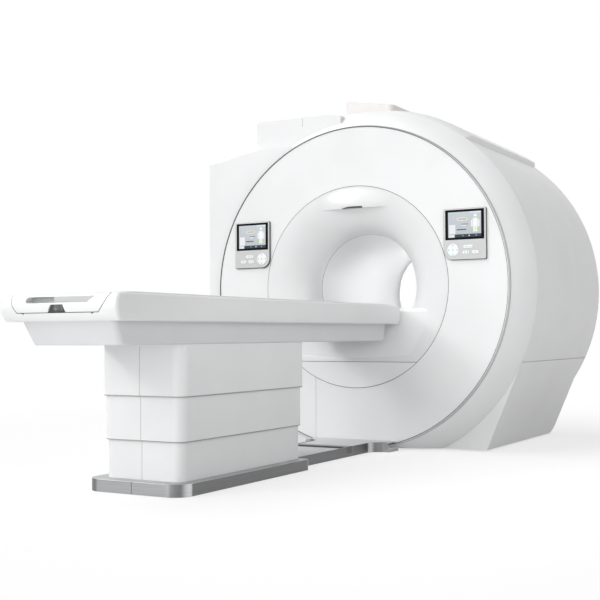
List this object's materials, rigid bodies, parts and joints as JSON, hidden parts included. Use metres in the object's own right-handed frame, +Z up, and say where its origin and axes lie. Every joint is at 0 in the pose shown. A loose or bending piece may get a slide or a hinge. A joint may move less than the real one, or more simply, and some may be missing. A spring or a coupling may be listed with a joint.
{
  "type": "mri scanner",
  "caption": "Superconducting magnetic resonance scanner: wide cylindrical gantry with a bell-shaped bore, and a height-adjustable patient table with a sliding top on a telescoping pedestal.",
  "frame": {"origin": "on the floor straight below the middle of the bore, at the underside of the magnet's cradle", "axes": "+Y along the bore from the table towards the rear, +Z up, +X to the right seen from the table"},
  "size_m": [2.284, 4.36, 2.4268],
  "materials": {
    "vessel_steel": "satin",
    "frame_steel": "satin",
    "machine_aluminium": "satin",
    "coil_resin": "matte",
    "copper": "satin",
    "liner_white": "semi-gloss",
    "cover_white": "satin",
    "roof_box_white": "matte",
    "ring_metal": "satin",
    "lamp_dark": "gloss",
    "bridge_grey": "matte",
    "panel_white": "satin",
    "screen": "gloss",
    "key_grey": "satin",
    "base_metal": "brushed",
    "table_white": "satin",
    "tray_grey": "satin",
    "top_white": "matte",
    "latch_dark": "gloss",
    "belt_rubber": "matte",
    "plinth_grey": "satin"
  },
  "bodies": {
    "scanner": {"magnet_vessel": "vessel_steel", "magnet_cradle": "frame_steel", "cold_head": "machine_aluminium", "gradient_coil": "coil_resin", "rf_coil": "copper", "bore_liner": "liner_white", "cover_frame": "frame_steel", "front_funnel": "cover_white", "lower_funnel_panel": "cover_white", "visor": "cover_white", "visor_lamp": "lamp_dark", "front_panel": "cover_white", "trim_ring": "ring_metal", "front_bezel": "cover_white", "cheek_cover": "cover_white", "turret_cover": "cover_white", "barrel_cover_right": "cover_white", "barrel_cover_left": "cover_white", "skirt_cover_right": "cover_white", "skirt_cover_left": "cover_white", "roof_cover": "cover_white", "roof_box": "roof_box_white", "rear_cover": "cover_white", "bore_bridge": "bridge_grey", "panel_housing_right": "panel_white", "panel_housing_left": "panel_white", "screen_right": "screen", "screen_left": "screen", "base_plate": "frame_steel", "base_trim_right": "base_metal", "base_trim_left": "base_metal", "lower_shell_right": "table_white", "lower_shell_left": "table_white", "column_fixed": "machine_aluminium", "plinth_cover": "plinth_grey", "plinth_trim": "base_metal", "dock_bar": "latch_dark"},
    "table": {"upper_shell_right": "table_white", "upper_shell_left": "table_white", "column_inner": "machine_aluminium", "tray_cover": "tray_grey", "table_frame": "machine_aluminium", "table_rim": "table_white", "foot_cap": "table_white", "drive_belt": "belt_rubber"},
    "middle_stage": {"middle_shell_right": "table_white", "middle_shell_left": "table_white", "column_middle": "machine_aluminium"},
    "sliding_top": {"table_top": "top_white"},
    "drive_wheel": {"drive_pulley": "machine_aluminium"},
    "idler_wheel": {"idler_pulley": "machine_aluminium"},
    "latch": {"latch_button": "latch_dark"},
    "direction_pad_right_press": {"direction_pad_right": "key_grey"},
    "direction_pad_left_press": {"direction_pad_left": "key_grey"},
    "upper_key_right_press": {"upper_key_right": "key_grey"},
    "upper_key_left_press": {"upper_key_left": "key_grey"},
    "near_key_right_press": {"near_key_right": "key_grey"},
    "near_key_left_press": {"near_key_left": "key_grey"},
    "far_key_right_press": {"far_key_right": "key_grey"},
    "far_key_left_press": {"far_key_left": "key_grey"}
  },
  "joints": [
    {"name": "table_lift", "type": "slide", "parent": "scanner", "child": "table", "axis": [0, 0, 1], "range_m": [-0.34, 0]},
    {"name": "middle_stage_lift", "type": "slide", "parent": "scanner", "child": "middle_stage", "axis": [0, 0, 1], "range_m": [-0.17, 0]},
    {"name": "table_top_slide", "type": "slide", "parent": "table", "child": "sliding_top", "axis": [0, 1, 0], "range_m": [0, 1.65]},
    {"name": "drive_wheel_turn", "type": "hinge", "parent": "table", "child": "drive_wheel", "pos_m": [0, -3.355, 0.824], "axis": [-1, 0, 0], "range_deg": [0, 4060]},
    {"name": "idler_wheel_turn", "type": "hinge", "parent": "table", "child": "idler_wheel", "pos_m": [0, -0.885, 0.824], "axis": [-1, 0, 0], "range_deg": [0, 4060]},
    {"name": "latch_press", "type": "slide", "parent": "table", "child": "latch", "axis": [0, 1, 0], "range_m": [0, 0.004], "stiffness_N_per_m": 500},
    {"name": "direction_pad_right_press_slide", "type": "slide", "parent": "scanner", "child": "direction_pad_right_press", "axis": [0, 1, 0], "range_m": [0, 0.0015], "stiffness_N_per_m": 600},
    {"name": "direction_pad_left_press_slide", "type": "slide", "parent": "scanner", "child": "direction_pad_left_press", "axis": [0, 1, 0], "range_m": [0, 0.0015], "stiffness_N_per_m": 600},
    {"name": "upper_key_right_press_slide", "type": "slide", "parent": "scanner", "child": "upper_key_right_press", "axis": [0, 1, 0], "range_m": [0, 0.0015], "stiffness_N_per_m": 600},
    {"name": "upper_key_left_press_slide", "type": "slide", "parent": "scanner", "child": "upper_key_left_press", "axis": [0, 1, 0], "range_m": [0, 0.0015], "stiffness_N_per_m": 600},
    {"name": "near_key_right_press_slide", "type": "slide", "parent": "scanner", "child": "near_key_right_press", "axis": [0, 1, 0], "range_m": [0, 0.0015], "stiffness_N_per_m": 600},
    {"name": "near_key_left_press_slide", "type": "slide", "parent": "scanner", "child": "near_key_left_press", "axis": [0, 1, 0], "range_m": [0, 0.0015], "stiffness_N_per_m": 600},
    {"name": "far_key_right_press_slide", "type": "slide", "parent": "scanner", "child": "far_key_right_press", "axis": [0, 1, 0], "range_m": [0, 0.0015], "stiffness_N_per_m": 600},
    {"name": "far_key_left_press_slide", "type": "slide", "parent": "scanner", "child": "far_key_left_press", "axis": [0, 1, 0], "range_m": [0, 0.0015], "stiffness_N_per_m": 600}
  ],
  "couplings": [
    {"joint": "middle_stage_lift", "follows": "table_lift", "ratio": 0.5},
    {"joint": "drive_wheel_turn", "follows": "table_top_slide", "rad_per_m": 42.919},
    {"joint": "idler_wheel_turn", "follows": "table_top_slide", "rad_per_m": 42.919}
  ]
}
